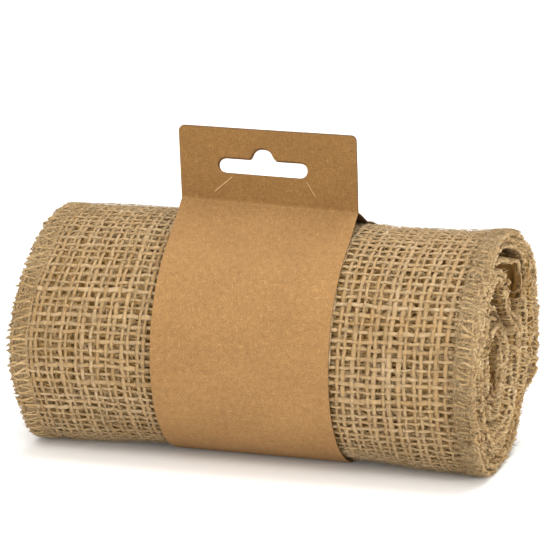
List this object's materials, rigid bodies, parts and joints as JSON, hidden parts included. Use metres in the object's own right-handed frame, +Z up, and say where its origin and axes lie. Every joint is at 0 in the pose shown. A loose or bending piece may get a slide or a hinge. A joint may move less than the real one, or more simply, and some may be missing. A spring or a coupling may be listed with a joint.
{
  "type": "coreless ribbon roll",
  "caption": "Coreless roll of open-weave jute ribbon with overlocked edges, held by a kraft-card belly band that rises as a folding hang tab with a euro slot.",
  "frame": {"origin": "middle of the flat foot of the belly band, which the roll stands on; it is also the bottom centre of the whole part's box", "axes": "+X along the roll's axis towards its right end, +Y to the back of the roll, +Z up; the front of the roll and of the hang tab face -Y"},
  "size_m": [0.1524, 0.0784, 0.1071],
  "materials": {
    "jute_cloth": "matte",
    "jute_thread": "matte",
    "kraft_card": "matte",
    "glue_film": "satin"
  },
  "bodies": {
    "ribbon_roll": {"burlap_ribbon": "jute_cloth", "left_edge_overlock": "jute_thread", "right_edge_overlock": "jute_thread"},
    "sleeve": {"card_band": "kraft_card"},
    "hang_tab": {"tab_front_ply": "kraft_card", "tab_back_ply": "kraft_card", "tab_adhesive": "glue_film"}
  },
  "joints": [
    {"name": "sleeve_slide", "type": "slide", "parent": "ribbon_roll", "child": "sleeve", "axis": [1, 0, 0], "range_m": [-0.11, 0.11]},
    {"name": "tab_fold", "type": "hinge", "parent": "sleeve", "child": "hang_tab", "pos_m": [0, -0.0057, 0.08218], "axis": [1, 0, 0], "range_deg": [-90, 90]}
  ]
}
